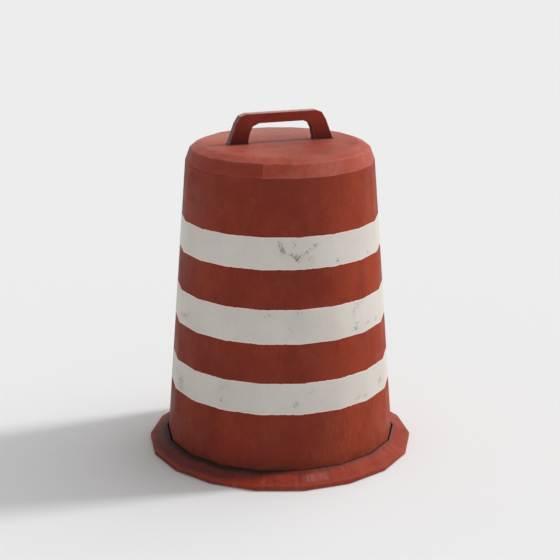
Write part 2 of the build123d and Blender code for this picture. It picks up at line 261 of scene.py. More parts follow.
def edge_rows(thickness, edge, bends, fade=None):
    """Rows over a plate's rounded side, front to back: how far in, how deep, lean, worn."""
    rows = []
    for number in range(bends + 1):
        lean = pi / 2 * (1 - number / bends)
        rows.append((edge * (1 - cos(lean)), edge * (1 - sin(lean)) - thickness / 2, lean, 1.0))
    if fade:
        rows.insert(0, (edge + fade, -thickness / 2, pi / 2, 0.0))
        rows.append((0.0, edge + fade - thickness / 2, 0.0, 0.0))
    return rows + [(inward, -deep, -lean, wear) for inward, deep, lean, wear in reversed(rows)]


def plate(name, corners, thickness, edge, bends=3):
    """An upright plate in the XZ plane, with rounded edges, from its outline's rounded corners."""
    outline = rounded_profile(corners, step=0.02, fade=1.0)
    rows = edge_rows(thickness, edge, bends)
    vertices, normals, faces = [], [], []
    for inward, deep, lean, _ in rows:
        for place, normal, _ in outline:
            spot = place - normal * inward
            vertices.append((spot.x, deep, spot.y))
            normals.append((normal.x * cos(lean), -sin(lean), normal.y * cos(lean)))
    count = len(outline)
    for row in range(len(rows) - 1):
        for number in range(count):
            after = (number + 1) % count
            low, high = row * count, (row + 1) * count
            faces.append((low + number, high + number, high + after, low + after))
    last = (len(rows) - 1) * count
    faces.append(tuple(range(count)))
    faces.append(tuple(reversed(range(last, last + count))))
    return make_mesh(name, vertices, faces, normals, worn=[0.0] * len(vertices))


def arch(name, outer, inner, thickness, edge, bends=4):
    """An upright arch in the XZ plane, swept from foot to foot between two outlines."""
    over = rounded_profile(outer, closed=False, step=1.0, bends=bends, fade=0.003)
    under = rounded_profile(inner, closed=False, step=1.0, bends=bends, fade=0.003)
    rows = edge_rows(thickness, edge, 4, fade=0.0012)
    vertices, normals, worn, faces = [], [], [], []
    for (far, far_normal, _), (near, near_normal, _) in zip(over, under):
        ring = [(far, far_normal, row) for row in rows]
        ring += [(near, -near_normal, row) for row in reversed(rows)]
        for place, normal, (inward, deep, lean, wear) in ring:
            spot = place - normal * inward
            vertices.append((spot.x, deep, spot.y))
            normals.append((normal.x * cos(lean), -sin(lean), normal.y * cos(lean)))
            worn.append(wear)
    around = 2 * len(rows)
    for start in range(0, len(vertices) - around, around):
        for number in range(around):
            after = (number + 1) % around
            faces.append((start + number, start + after, start + around + after, start + around + number))
    last = len(vertices) - around
    faces.append(tuple(reversed(range(around))))
    faces.append(tuple(range(last, last + around)))
    return make_mesh(name, vertices, faces, normals, worn=worn)


def turn_piece(piece, angle, shift=(0, 0, 0)):
    """Turns a piece's mesh about the axis and moves it, leaving its object at the origin."""
    matrix = Euler((0, 0, angle)).to_matrix().to_4x4()
    matrix.translation = shift
    piece.data.transform(matrix)


def paint(piece, attribute, value_at):
    """Adds a number to every vertex of a piece, worked out from its place."""
    layer = piece.data.attributes.new(attribute, "FLOAT", "POINT")
    layer.data.foreach_set("value", [value_at(vertex.co) for vertex in piece.data.vertices])


def joined(name, pieces):
    """One object from several."""
    bpy.ops.object.select_all(action="DESELECT")
    for piece in pieces:
        piece.select_set(True)
    bpy.context.view_layer.objects.active = pieces[0]
    bpy.ops.object.join()
    pieces[0].name = pieces[0].data.name = name
    return pieces[0]


# ------------------------------ shader tools
class Shader:
    """A node material being made: its methods add nodes and return what they put out."""

    def __init__(self, name, roughness, specular, metallic=0.0):
        self.material = bpy.data.materials.new(name)
        self.material.use_nodes = True
        self.tree = self.material.node_tree
        self.surface = self.tree.nodes["Principled BSDF"]
        self.colour = None
        self.surface.inputs["Roughness"].default_value = roughness
        self.surface.inputs["Specular IOR Level"].default_value = specular
        self.surface.inputs["Metallic"].default_value = metallic
        coordinates = self.node("ShaderNodeTexCoord")
        self.place = coordinates.outputs["Object"]
        split = self.node("ShaderNodeSeparateXYZ", {0: self.place})
        self.across, self.back, self.height = [split.outputs[axis] for axis in "XYZ"]
        self.normal = coordinates.outputs["Normal"]
        self.upward = self.node("ShaderNodeSeparateXYZ", {0: self.normal}).outputs["Z"]

    def feed(self, socket, value):
        """Links what another node puts out to a socket, or sets a constant in it."""
        if isinstance(value, bpy.types.NodeSocket):
            self.tree.links.new(value, socket)
        else:
            socket.default_value = value

    def node(self, kind, inputs=None, **settings):
        """Adds a node and feeds its inputs."""
        made = self.tree.nodes.new(kind)
        for key, value in settings.items():
            setattr(made, key, value)
        for key, value in (inputs or {}).items():
            self.feed(made.inputs[key], value)
        return made

    def noise(self, scale, detail=4, roughness=0.55, stretch=(1, 1, 1), shift=(0, 0, 0)):
        moved = self.node("ShaderNodeMapping", {0: self.place, "Scale": stretch, "Location": shift})
        inputs = {"Vector": moved.outputs[0], "Scale": scale, "Detail": detail, "Roughness": roughness}
        return self.node("ShaderNodeTexNoise", inputs).outputs[0]

    def cells(self, scale, feature="F1"):
        inputs = {"Vector": self.place, "Scale": scale}
        return self.node("ShaderNodeTexVoronoi", inputs, feature=feature).outputs["Distance"]

    def vector(self, operation, *values, scale=1.0):
        """A sum with vectors, which gives a vector."""
        inputs = {**dict(enumerate(values)), 3: scale}
        return self.node("ShaderNodeVectorMath", inputs, operation=operation).outputs[0]

    def dot(self, first, second):
        """How far two directions agree, from -1 to 1."""
        inputs = {0: first, 1: second}
        return self.node("ShaderNodeVectorMath", inputs, operation="DOT_PRODUCT").outputs[1]

    def outward(self):
        """The level direction from the axis to the surface."""
        return self.vector("NORMALIZE", self.vector("MULTIPLY", self.place, (1, 1, 0)))

    def facing(self, direction):
        """How far the surface faces a direction, from -1 to 1."""
        return self.dot(self.normal, direction)

    def facing_place(self, direction):
        """How far the surface lies to a side of the axis, from -1 to 1."""
        return self.dot(self.outward(), direction)

    def radial_noise(self, around, outward, detail, seed=0.0):
        """Noise in streaks that run away from the axis, so many of them a metre round and out."""
        turned = self.vector("SCALE", self.outward(), scale=around * STREAKS_AT)
        drawn = self.vector("SCALE", self.place, scale=outward)
        spot = self.vector("ADD", self.vector("ADD", turned, drawn), (seed, 0, 0))
        inputs = {"Vector": spot, "Scale": 1.0, "Detail": detail, "Roughness": 0.65}
        return self.node("ShaderNodeTexNoise", inputs).outputs[0]

    def attribute(self, name):
        return self.node("ShaderNodeAttribute", attribute_name=name).outputs["Fac"]

    def rise(self, value, low, high, most=1.0):
        """0 below low, most above high, and smooth between; low may be above high."""
        inputs = {"Value": value, "From Min": low, "From Max": high, "To Max": most}
        return self.node("ShaderNodeMapRange", inputs, interpolation_type="SMOOTHSTEP").outputs[0]

    def maths(self, operation, first, second):
        return self.node("ShaderNodeMath", {0: first, 1: second}, operation=operation).outputs[0]

    def plus(self, first, second):
        return self.maths("ADD", first, second)

    def minus(self, first, second):
        return self.maths("SUBTRACT", first, second)

    def times(self, *values):
        return reduce(partial(self.maths, "MULTIPLY"), values)

    def either(self, *values):
        """The largest of several masks."""
        return reduce(partial(self.maths, "MAXIMUM"), values)

    def mix(self, share, first, second):
        """The first colour where share is 0, the second where it is 1."""
        made = self.node("ShaderNodeMix", data_type="RGBA", clamp_factor=True)
        for index, value in ((0, share), (6, first), (7, second)):  # the colour mode's inputs
            self.feed(made.inputs[index], (*value, 1) if isinstance(value, tuple) else value)
        return made.outputs[2]

    def blend(self, value, low, high, first, second):
        """The first colour where a value is low, the second where it is high."""
        return self.mix(self.rise(value, low, high), first, second)

    def coat(self, share, colour):
        """Covers a share of the surface with another colour."""
        self.colour = self.mix(share, self.colour, colour)

    def finish(self, relief=None, depth=0.0005, strength=0.5, roughness=None):
        """The material, given its colour, roughness and relief."""
        self.feed(self.surface.inputs["Base Color"], self.colour)
        if roughness is not None:
            self.feed(self.surface.inputs["Roughness"], roughness)
        if relief is not None:
            inputs = {"Height": relief, "Distance": depth, "Strength": strength}
            self.feed(self.surface.inputs["Normal"], self.node("ShaderNodeBump", inputs).outputs[0])
        return self.material


# ------------------------------ materials
DEEP = (0.162, 0.0225, 0.0105)
FADED = (0.222, 0.0325, 0.0145)
# lighter red painted on the side facing the sun lamp, as painted light
SUNLIT_RED = (0.285, 0.0365, 0.0098)
PALE = (0.36, 0.105, 0.065)
DUST = (0.45, 0.235, 0.195)
# near-black for painted shade in the crease and for the darkening low on the wall
CREASE_DARK = (0.012, 0.011, 0.010)
GROOVE_LIGHT = (0.145, 0.048, 0.042)  # paler colour in the groove where the wall meets the foot ring: painted light that keeps the shaded slot from going black

LIT_SIDE = (1.0, 0.15, 0.0)  # the side the sun lamp lights, where painted light is added
SHADY = (-0.87, -0.5, 0.0)
SHADY_FRONT = (-0.5, -0.866, 0.0)
SCRAPED = (-0.063, -0.998, 0.0)  # where the foot ring was dragged

# Where the foot ring's wear, painted shade and other marks start and end: distances from the axis to its
# corners.
OFF_SPIGOT = (0.354, 0.3575)
GROOVE_WALL = (0.366, 0.364)
CREASE_SHADE, CLOSE_CREASE_SHADE, HALO = (0.394, 0.374), (0.388, 0.374), (0.390, 0.372)
SCRAPE_INNER, SCRAPE_OUTER = (0.370, 0.382), (0.408, 0.398)
RUBBED_RIM = (0.398, 0.411)
SLOPE_MIDDLE = 0.386


def drum_plastic():
    """Faded moulded plastic: cloudy, with painted light on the side facing the sun lamp, and fine upright
    streaks low down.
    """
    shader = Shader("drum_plastic", 0.62, 0.11)
    cloud = shader.noise(4.5, 5, 0.6)
    shader.colour = shader.blend(cloud, 0.32, 0.70, DEEP, FADED)
    # painted light: the side facing the sun lamp is coated a lighter red
    sunlit = shader.rise(shader.facing(LIT_SIDE), -0.30, 0.50)
    ragged = shader.plus(shader.noise(6, 4, 0.6, shift=(5, 2, 2)), 0.42)
    shader.coat(shader.times(sunlit, ragged), SUNLIT_RED)
    upright = shader.noise(1.0, 4, 0.6, stretch=(14, 14, 2.6), shift=(1, 6, 2))
    shader.coat(shader.rise(upright, 0.44, 0.66, 0.26), (0.118, 0.0155, 0.0105))
    smudge = shader.rise(shader.noise(1.0, 6, 0.75, stretch=(30, 30, 20), shift=(2, 7, 3)), 0.50, 0.68, 0.3)
    shader.coat(smudge, (0.105, 0.0155, 0.0125))
    chalk = shader.rise(shader.noise(1.0, 6, 0.75, stretch=(44, 44, 26), shift=(6, 3, 9)), 0.52, 0.68, 0.11)
    shader.coat(chalk, PALE)
    grain = shader.rise(shader.noise(170, 3, 0.6, shift=(3, 3, 3)), 0.46, 0.62, 0.22)
    shader.coat(grain, (0.112, 0.0185, 0.0160))
    fine = shader.noise(1.0, 4, 0.65, stretch=(160, 160, 26))
    low = shader.rise(shader.height, 0.36, 0.13)
    low = shader.times(low, shader.rise(shader.facing(LIT_SIDE), -0.45, 0.1))
    streaks = shader.times(shader.rise(fine, 0.44, 0.64), low)
    shader.coat(shader.times(streaks, 0.15), PALE)
    specks = shader.rise(shader.noise(260, 2, 0.6), 0.66, 0.78, 0.35)
    shader.coat(specks, DEEP)
    # darker towards the bottom of the wall, next to the foot ring
    low_darkening = shader.times(shader.rise(shader.height, 0.080, 0.043), shader.rise(shader.noise(30), 0.3, 0.6))
    shader.coat(shader.times(low_darkening, 0.34), CREASE_DARK)
    # painted light: a paler colour inside the groove, so the shaded slot does not go black
    groove_light = shader.rise(shader.height, CREASE - 0.001, CREASE - 0.006, 0.8)
    shader.coat(groove_light, GROOVE_LIGHT)
    rough = shader.plus(shader.rise(shader.noise(12, 4), 0.3, 0.7, 0.25), 0.48)
    relief = shader.plus(shader.noise(380, 3, 0.6), shader.times(fine, 0.6))
    return shader.finish(relief, 0.0004, 0.5, rough)


def cap_dust(shader, level):
    """How dusty the cap is: a little everywhere, more on the far side, less on the shaded shoulder."""
    far = shader.rise(shader.back, -0.02, 0.19, 0.55)
    streaked = shader.rise(shader.noise(1.0, 5, 0.65, stretch=(9, 42, 9), shift=(3, 1, 4)), 0.3, 0.62)
    far = shader.times(level, far, shader.plus(shader.times(streaked, 0.5), 0.6))
    blotch = shader.rise(shader.noise(11, 6, 0.65), 0.2, 0.75, 1.5)
    settled = shader.times(shader.minus(0.165, shader.times(level, 0.02)), blotch)
    shaded = shader.times(shader.attribute("shaded"), 0.3)
    return shader.either(shader.minus(shader.plus(settled, far), shaded), 0.0)


def paler_cap(shader, level):
    """Where the cap is painted paler: its slope, save on the side turned from the sun, and the deck's two
    ends.
    """
    slope = shader.times(shader.rise(shader.upward, 0.3, 0.55), shader.rise(shader.upward, 0.99, 0.85))
    slope = shader.times(slope, shader.rise(shader.facing_place(LIT_SIDE), -0.75, -0.1))
    left = shader.times(level, shader.rise(shader.across, 0.02, -0.15))
    right = shader.times(level, shader.rise(shader.across, 0.06, 0.16, 0.8))
    return shader.times(shader.either(slope, left, right), shader.rise(shader.noise(16, 5), 0.2, 0.6, 0.30))


def grip_smudge(shader):
    """The grey smudge on the deck, under the handle."""
    smudge = shader.rise(shader.maths("ABSOLUTE", shader.back, 0.0), 0.055, 0.012, 0.4)
    ends = shader.times(shader.rise(shader.across, -0.09, -0.02), shader.rise(shader.across, 0.12, 0.04))
    return shader.times(smudge, ends, shader.rise(shader.noise(30, 5), 0.25, 0.6))


def cap_plastic():
    """The same plastic where it faces the sky, holding dust, with painted light on the side facing the sun
    lamp and painted shade on part of its shoulder.
    """
    shader = Shader("cap_plastic", 0.62, 0.14)
    cloud = shader.noise(7, 5, 0.6, shift=(2, 5, 1))
    shader.colour = shader.blend(cloud, 0.35, 0.68, (0.265, 0.0325, 0.0150), (0.350, 0.050, 0.0245))
    # painted light: the side facing the sun lamp is coated a lighter red
    sunlit = shader.rise(shader.facing(LIT_SIDE), -0.25, 0.55, 0.8)
    shader.coat(sunlit, (0.350, 0.051, 0.0220))
    level = shader.rise(shader.upward, 0.15, 0.95)
    shader.coat(cap_dust(shader, level), DUST)
    # painted shade on the stretch of the shoulder turned from the sun
    shader.coat(shader.times(shader.attribute("shaded"), 0.62), DEEP)
    shader.coat(paler_cap(shader, level), (0.56, 0.135, 0.090))
    shader.coat(grip_smudge(shader), (0.235, 0.150, 0.140))
    rubbed = shader.times(shader.attribute("worn"), shader.rise(shader.noise(40, 4), 0.3, 0.6))
    shader.coat(shader.times(rubbed, 0.08), DUST)
    grain = shader.rise(shader.noise(1.0, 5, 0.75, stretch=(95, 95, 60)), 0.46, 0.66, 0.36)
    shader.coat(grain, (0.20, 0.034, 0.022))
    specks = shader.rise(shader.noise(220, 2, 0.6), 0.64, 0.78, 0.4)
    shader.coat(specks, DEEP)
    relief = shader.plus(shader.noise(300, 4, 0.6), shader.noise(25, 3))
    return shader.finish(relief, 0.0006, 0.5)


def ring_plastic(shader, sunlit):
    """The foot ring's colour with the drum's shadow painted on: dark in the painted shadow, lighter where
    painted sunlit, dusty at its end.
    """
    cloud = shader.noise(9, 6, 0.65, shift=(4, 4, 1))
    dark = shader.blend(cloud, 0.35, 0.66, (0.100, 0.0245, 0.0205), (0.134, 0.0290, 0.0225))
    light = shader.blend(cloud, 0.35, 0.66, (0.232, 0.0265, 0.013), (0.30, 0.042, 0.020))
    shader.colour = shader.mix(sunlit, dark, light)
    dusty = shader.rise(shader.noise(14, 5, 0.7, shift=(1, 8, 2)), 0.48, 0.72, 0.5)
    side = shader.rise(shader.facing_place(LIT_SIDE), 0.35, 1.0, 0.9)
    dusty = shader.times(dusty, shader.plus(side, 0.12))
    shader.coat(dusty, (0.30, 0.115, 0.12))


def ring_scrapes(shader, ring, sunlit, radial):
    """Adds the radial scrapes, pale and dark, the dragged patch in front and the rubbed rim."""
    pale = shader.times(shader.rise(radial, 0.48, 0.66), shader.rise(shader.noise(13, 3), 0.40, 0.60, 0.36))
    shader.coat(shader.times(pale, sunlit), PALE)
    patch = shader.rise(shader.facing_place(SCRAPED), 0.9915, 0.9975)
    patch = shader.times(patch, shader.rise(ring, *SCRAPE_INNER), shader.rise(ring, *SCRAPE_OUTER))
    patch = shader.times(patch, shader.rise(shader.radial_noise(130, 26, 5), 0.34, 0.60, 0.8))
    shader.coat(patch, (0.31, 0.105, 0.085))
    dark = shader.times(shader.rise(shader.radial_noise(80, 9, 5, 7.0), 0.52, 0.68, 0.5), sunlit)
    shader.coat(dark, (0.125, 0.020, 0.016))
    rim = shader.times(shader.rise(ring, *RUBBED_RIM), shader.rise(shader.upward, 0.1, 0.5))
    rim = shader.times(rim, shader.rise(shader.noise(24, 4), 0.28, 0.5, 0.7))
    shader.coat(rim, (0.26, 0.046, 0.026))


def ring_crease_marks(shader, ring, sunlit, radial):
    """Adds the marks round the wall: a grey halo, painted shade in the crease, widest on the side turned
    from the sun, and a paler colour in the groove, painted light that keeps the shaded slot from going
    black.
    """
    ragged = shader.times(shader.noise(26, 4), 0.012)
    off_spigot = shader.rise(ring, *OFF_SPIGOT)
    reach = shader.plus(ragged, shader.times(radial, 0.014))
    halo = shader.rise(shader.plus(ring, reach), *HALO, 0.85)
    halo = shader.times(halo, off_spigot, shader.rise(shader.facing_place(LIT_SIDE), -0.42, -0.08))
    shader.coat(shader.times(halo, sunlit), (0.115, 0.046, 0.054))
    reach = shader.plus(reach, shader.times(sunlit, 0.0150))
    crease = shader.times(off_spigot, shader.rise(shader.height, 0.030, 0.036))
    # painted shade in the crease, reaching further out on the side turned from the sun and at the front
    crease_shade = shader.times(shader.rise(shader.plus(ring, reach), *CREASE_SHADE), crease)
    front = shader.rise(shader.facing_place(SHADY_FRONT), -0.1, 0.6, 0.40)
    shader.coat(shader.times(crease_shade, shader.plus(front, 0.46)), CREASE_DARK)
    # painted shade close in the crease on the shaded side
    close = shader.times(shader.rise(shader.plus(ring, ragged), *CLOSE_CREASE_SHADE), crease)
    close = shader.times(close, shader.rise(shader.facing_place(SHADY), 0.1, 0.9, 0.45))
    shader.coat(close, (0.014, 0.014, 0.015))
    # painted light: a paler colour on the groove's wall
    groove_light = shader.rise(shader.height, CREASE - 0.002, CREASE - 0.006)
    shader.coat(shader.times(groove_light, shader.rise(ring, *GROOVE_WALL, 0.8)), GROOVE_LIGHT)


def base_plastic():
    """Scuffed plastic of the foot ring: the drum's painted shadow, painted shade in the crease, a rubbed
    rim, dust and radial scrapes.
    """
    shader = Shader("base_plastic", 0.64, 0.12)
    ring = shader.attribute("ring")
    radial = shader.radial_noise(60, 8, 4)
    # painted shadow: the ring's inner part on the side turned from the sun is painted dark, as the drum's
    # shadow
    lit = shader.plus(shader.facing_place(LIT_SIDE), shader.times(shader.minus(ring, SLOPE_MIDDLE), 9.0))
    lit = shader.plus(lit, shader.rise(shader.noise(16, 4), 0.2, 0.8, 0.16))
    sunlit = shader.rise(lit, -0.70, -0.42)
    ring_plastic(shader, sunlit)
    ring_scrapes(shader, ring, sunlit, radial)
    ring_crease_marks(shader, ring, sunlit, radial)
    relief = shader.plus(shader.noise(180, 5, 0.65), shader.times(shader.noise(45, 4), 1.5))
    return shader.finish(relief, 0.0012, 0.6)


def handle_plastic():
    """Hand-worn plastic, pale along its top, with painted shade towards its feet, on its left leg and on the
    right leg's inner face.
    """
    shader = Shader("handle_plastic", 0.5, 0.12)
    foot = handle_low.z
    right = shader.rise(shader.across, -0.08, 0.10)
    leftward = shader.facing((-1.0, 0.0, 0.0))
    cloud = shader.noise(18, 5, 0.6)
    shader.colour = shader.blend(cloud, 0.35, 0.68, (0.178, 0.0195, 0.0105), (0.232, 0.0285, 0.0165))
    # painted shade: darker towards the feet, less on the right leg that faces the sun
    low = shader.rise(shader.height, foot + 0.070, foot + 0.012)
    low = shader.times(low, shader.minus(0.85, shader.times(right, 0.32)))
    shader.coat(low, (0.078, 0.0095, 0.0065))
    # painted shade on the left leg, turned from the sun
    left_leg_shade = shader.rise(shader.across, -0.095, -0.125, 0.34)
    shader.coat(left_leg_shade, (0.105, 0.0125, 0.0080))
    # painted shade where the feet meet the deck
    foot_shade = shader.rise(shader.height, foot + 0.018, foot)
    foot_shade = shader.times(foot_shade, shader.rise(shader.noise(50), 0.2, 0.6), 0.6)
    shader.coat(foot_shade, (0.02, 0.010, 0.009))
    # painted shade on the right leg's inner face
    inner_face_shade = shader.times(shader.rise(leftward, 0.5, 0.9), right)
    shader.coat(shader.times(inner_face_shade, 0.7), (0.03, 0.009, 0.008))
    sides = shader.times(shader.rise(leftward, 0.5, 0.9, 0.38), shader.rise(shader.across, -0.09, -0.11))
    shader.coat(sides, (0.14, 0.092, 0.082))
    rubbed = shader.times(shader.attribute("worn"), shader.rise(shader.noise(90, 4), 0.35, 0.6))
    shader.coat(shader.times(rubbed, 0.3), (0.30, 0.13, 0.10))
    settled = shader.times(shader.rise(shader.upward, 0.5, 0.95), shader.rise(shader.noise(60), 0.2, 0.5))
    shader.coat(shader.times(settled, 0.6), (0.60, 0.36, 0.31))
    relief = shader.noise(420, 4, 0.6)
    return shader.finish(relief, 0.0004, 0.5)


def reflective_sheeting():
    """Off-white sheeting with a fine cell pattern, grey speckled scuffs and a painted pale highlight along
    its edges.
    """
    shader = Shader("reflective_sheeting", 0.55, 0.3)
    white, grey, dark = (0.585, 0.545, 0.505), (0.50, 0.46, 0.415), (0.115, 0.105, 0.10)
    shader.colour = shader.mix(shader.rise(shader.noise(7, 5, 0.6), 0.3, 0.7, 0.6), white, grey)
    cells = shader.rise(shader.cells(330, "DISTANCE_TO_EDGE"), 0.12, 0.0, 0.05)
    shader.coat(cells, (0.20, 0.18, 0.155))
    scuff = shader.attribute("scuff")
    grain = shader.noise(270, 3, 0.6)
    threshold = shader.minus(0.67, shader.times(scuff, 0.19))
    specks = shader.rise(shader.minus(grain, threshold), 0.0, 0.05, 0.85)
    shader.coat(specks, dark)
    shader.coat(shader.times(scuff, 0.12), (0.33, 0.30, 0.28))
    lone = shader.rise(shader.noise(170, 2, 0.5, shift=(4, 2, 6)), 0.70, 0.78, 0.35)
    shader.coat(lone, (0.30, 0.27, 0.235))
    # painted highlight: a pale pinkish line along the bands' edges
    edge = shader.times(shader.attribute("edge"), shader.rise(shader.noise(60), 0.25, 0.5, 0.8))
    shader.coat(edge, (0.80, 0.58, 0.52))
    relief = shader.plus(shader.noise(200, 3), shader.times(specks, -1.0))
    return shader.finish(relief, 0.0002, 0.4)


def crumb_rubber(name, grain):
    """Black rubber, pressed from crumb for the ballast and finer for the gaskets."""
    shader = Shader(name, 0.8, 0.3)
    shader.colour = shader.blend(shader.cells(grain), 0.1, 0.6, (0.012, 0.012, 0.012), (0.035, 0.034, 0.032))
    dusty = shader.rise(shader.noise(14, 5, 0.6), 0.45, 0.7, 0.4)
    shader.coat(dusty, (0.13, 0.11, 0.09))
    return shader.finish(shader.cells(grain), 0.0006, 0.7)


def zinc_steel():
    """Zinc-plated steel with a cloudy passivated surface and a few dull spots."""
    shader = Shader("zinc_steel", 0.38, 0.5, metallic=1.0)
    cloud = shader.rise(shader.noise(160, 5, 0.6), 0.3, 0.7)
    shader.colour = shader.mix(cloud, (0.42, 0.42, 0.40), (0.62, 0.61, 0.56))
    dull = shader.rise(shader.noise(420, 3, 0.6), 0.6, 0.75, 0.6)
    shader.coat(dull, (0.24, 0.22, 0.19))
    rough = shader.plus(shader.times(cloud, 0.2), 0.3)
    return shader.finish(shader.noise(900, 2), 0.0001, 0.3, rough)


def insert_brass():
    """Turned brass with fine tool rings."""
    shader = Shader("insert_brass", 0.35, 0.5, metallic=1.0)
    rings = shader.noise(1.0, 2, 0.5, stretch=(1, 1, 5000))
    shader.colour = shader.mix(rings, (0.44, 0.29, 0.10), (0.62, 0.44, 0.18))
    return shader.finish(rings, 0.0001, 0.4)


# ------------------------------ pieces
def mount(piece, material, slot, body, *nodes):
    """Gives a piece its material and its body, and lets it stand for its CAD nodes; its slot is not used."""
    piece.data.materials.clear()
    piece.data.materials.append(material)
    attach(piece, body)
    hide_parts(*nodes)


def drum_wall():
    """The shell: a thin tapered wall."""
    (foot, low), (top, high) = WALL_FOOT, WALL_TOP
    corners = eased([(foot, low), (top, high), (top - WALL, high), (foot - WALL, low)], 0.0006)
    return lathe("drum_wall", rounded_profile(corners), DRUM_CORNER)


def inside(points, wall):
    """The corners of a line drawn one wall inside another, which runs up and in."""
    spots = [Vector(point) for point in points]
    lines = []
    for before, after in zip(spots, spots[1:]):
        along = (after - before).normalized()
        lines.append((before + Vector((-along.y, along.x)) * wall, along))
    corners = [lines[0][0]]
    for (start, along), (next_start, next_along) in zip(lines, lines[1:]):
        reach = (next_start - start).cross(next_along) / along.cross(next_along)
        corners.append(start + along * reach)
    return corners


def shoulder_shade(spot):
    """1 on the stretch of the shoulder painted darker as shade, 0 on the rest of the cap."""
    turn = (atan2(spot.y, spot.x) - SHADED_FROM) % (2 * pi)
    below = smooth(spot.z, DECK - BEVEL_DROP + 0.001, DECK - BEVEL_DROP - 0.002)
    return below * smooth(turn, 0.0, 0.6) * smooth(turn, SHADED_TURN, SHADED_TURN - 0.02)


def cap_shell(outer, inner):
    """The deck, the shoulder and the skirt that goes down inside the shell."""
    skirt_out = SKIRT_GAP + WALL
    skirt_in = skirt_out + SKIRT_WALL
    seat = WALL_TOP[1]
    ledge = seat + SKIRT_LEDGE
    corners = [
        (0.0, inner[2].y, 0),
        (*inner[2], 0.002),
        (*inner[1], 0.002),
        (wall_flat(ledge) - skirt_in, ledge, 0.0008),
        (wall_flat(SKIRT_FOOT) - skirt_in, SKIRT_FOOT, 0.0008),
        (wall_flat(SKIRT_FOOT) - skirt_out, SKIRT_FOOT, 0.0008),
        (wall_flat(seat) - skirt_out, seat, 0.0005),
        (*outer[0], 0.0009),
        (*outer[1], 0.006),
        (*outer[2], 0.040),
        (0.0, DECK, 0),
    ]
    profile = rounded_profile(corners, closed=False, step=0.02, fade=0.006)
    shell = lathe("cap_shell", profile, DRUM_CORNER, closed=False)
    paint(shell, "shaded", shoulder_shade)
    return shell


def cap_ribs(inner):
    """The ribs under the deck, each ending in a fin that a stacked drum stands on."""
    under, fin_foot, seat = inner[2].y, cap_low.z, WALL_TOP[1]
    middle = WALL + SKIRT_GAP + SKIRT_WALL / 2
    outline = [
        (HUB_RADIUS - RIB_WALL / 2, under + SUNK),
        (HUB_RADIUS - RIB_WALL / 2, under - RIB_DEPTH),
        (STACK_RADIUS, under - RIB_DEPTH),
        (STACK_RADIUS, fin_foot),
        (wall_flat(fin_foot) - middle, fin_foot),
        (wall_flat(seat) - middle, seat),
        (inner[1].x + SUNK, inner[1].y),
        (inner[2].x + SUNK, under + SUNK),
    ]
    ribs = []
    for number in range(RIB_COUNT):
        rib = plate("cap_rib", eased(outline, RIB_ROUNDING), RIB_WALL, RIB_EDGE)
        turn_piece(rib, RIB_START + number * 2 * pi / RIB_COUNT)
        ribs.append(rib)
    return ribs


def cap_lugs():
    """The snap lugs round the skirt."""
    half = LUG_HEIGHT / 2
    outline = [(-SUNK, -half), (LUG_STAND, -half), (LUG_STAND, half), (-SUNK, half)]
    root = wall_flat(LUG_LEVEL) - WALL - SKIRT_GAP
    lugs = []
    for number in range(LUG_COUNT):
        lug = plate("cap_lug", eased(outline, 0.0005), LUG_WIDTH, 0.0004)
        facing = (number * 2 + 0.5) * SIDE_TURN
        turn_piece(lug, facing, (root * cos(facing), root * sin(facing), LUG_LEVEL))
        lugs.append(lug)
    return lugs


def cap_hub(under):
    """The ring under the middle of the deck that the ribs run out from."""
    top, foot, bore = under + SUNK, under - RIB_DEPTH, HUB_RADIUS - RIB_WALL
    outline = [(HUB_RADIUS, top), (bore, top), (bore, foot), (HUB_RADIUS, foot)]
    return lathe("cap_hub", rounded_profile(eased(outline, RIB_ROUNDING)), HUB_RADIUS / 2)


def cap_moulding():
    """The cap: deck, shoulder and skirt, with ribs, lugs and a hub ring underneath."""
    rim, seat = WALL_TOP
    outer = [(rim, seat), (rim - BEVEL_INSET, DECK - BEVEL_DROP), (rim - DECK_INSET, DECK)]
    inner = inside(outer + [(0.0, DECK)], CAP_WALL)
    pieces = [cap_shell(outer, inner)] + cap_ribs(inner) + cap_lugs() + [cap_hub(inner[2].y)]
    return joined("cap_moulding", pieces)


def worn_rim(spot, place):
    """Pulls the foot ring's rim in by up to a millimetre, as wear."""
    weight = smooth(place.x, *RIM_WEAR)
    if not weight:
        return spot
    rough = noise.noise(Vector((spot.x * 14, spot.y * 14, place.y * 8)))
    fine = noise.noise(Vector((spot.x * 70, spot.y * 70, place.y * 40)))
    pull = weight * (0.0007 * (1 + rough) / 2 + 0.0005 * max(fine, 0))
    return spot * (1 - pull / spot.length)


